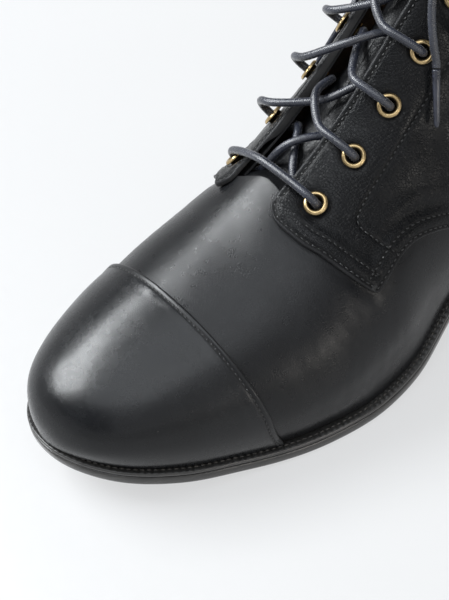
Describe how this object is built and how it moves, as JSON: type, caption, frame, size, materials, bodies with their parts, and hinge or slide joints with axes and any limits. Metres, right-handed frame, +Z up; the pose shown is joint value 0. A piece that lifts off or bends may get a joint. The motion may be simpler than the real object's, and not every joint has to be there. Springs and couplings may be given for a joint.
{
  "type": "lace-up boot",
  "caption": "Ankle-high black leather cap-toe derby lace-up boot, left foot, with metal eyelets, round laces tied in a bow, welted sole and stacked heel.",
  "frame": {"origin": "middle of the boot's plan box, on the floor under the sole", "axes": "+Y from toe to heel, -Y is the way the toe points; +X to the outer (lateral) side of this left boot; +Z up"},
  "size_m": [0.0994, 0.3034, 0.1918],
  "materials": {
    "smooth_upper": "polished smooth calf",
    "grain_upper": "fine grained calf",
    "lining_leather": "natural calf",
    "canvas": "woven cotton",
    "stiffener": "firm vegetable-tanned board",
    "sole_leather": "burnished black",
    "heel_rubber": "moulded rubber",
    "insole_board": "vegetable-tanned",
    "cork": "ground cork",
    "shank_steel": "spring steel",
    "eyelet_brass": "antiqued brass",
    "lace": "waxed round cotton",
    "aglet": "dark tipped"
  },
  "bodies": {
    "boot": {"aglet_lateral": "aglet", "aglet_medial": "aglet", "backstay": "smooth_upper", "cork_filler": "cork", "eyelet_lateral_1": "eyelet_brass", "eyelet_lateral_2": "eyelet_brass", "eyelet_lateral_3": "eyelet_brass", "eyelet_lateral_4": "eyelet_brass", "eyelet_lateral_5": "eyelet_brass", "eyelet_lateral_6": "eyelet_brass", "eyelet_lateral_7": "eyelet_brass", "eyelet_medial_1": "eyelet_brass", "eyelet_medial_2": "eyelet_brass", "eyelet_medial_3": "eyelet_brass", "eyelet_medial_4": "eyelet_brass", "eyelet_medial_5": "eyelet_brass", "eyelet_medial_6": "eyelet_brass", "eyelet_medial_7": "eyelet_brass", "heel_counter": "stiffener", "heel_lift_lower": "sole_leather", "heel_lift_middle": "sole_leather", "heel_lift_upper": "sole_leather", "insole": "insole_board", "interlining_lateral": "canvas", "interlining_medial": "canvas", "lace_end_lateral": "lace", "lace_end_medial": "lace", "lace_knot": "lace", "lace_loop_lateral": "lace", "lace_loop_medial": "lace", "lace_strand_a": "lace", "lace_strand_b": "lace", "lining_lateral": "lining_leather", "lining_medial": "lining_leather", "outsole": "sole_leather", "quarter_lateral": "grain_upper", "quarter_medial": "grain_upper", "shank": "shank_steel", "sock_liner": "lining_leather", "toe_cap": "smooth_upper", "toe_puff": "stiffener", "top_lift": "heel_rubber", "vamp": "smooth_upper", "vamp_lining": "canvas", "welt": "sole_leather"},
    "tongue": {"tongue": "grain_upper"}
  },
  "joints": [
    {"name": "tongue_fold", "type": "hinge", "parent": "boot", "child": "tongue", "pos_m": [-0.004, -0.0594, 0.0597], "axis": [-1, 0, 0], "range_deg": [0, 10]}
  ]
}
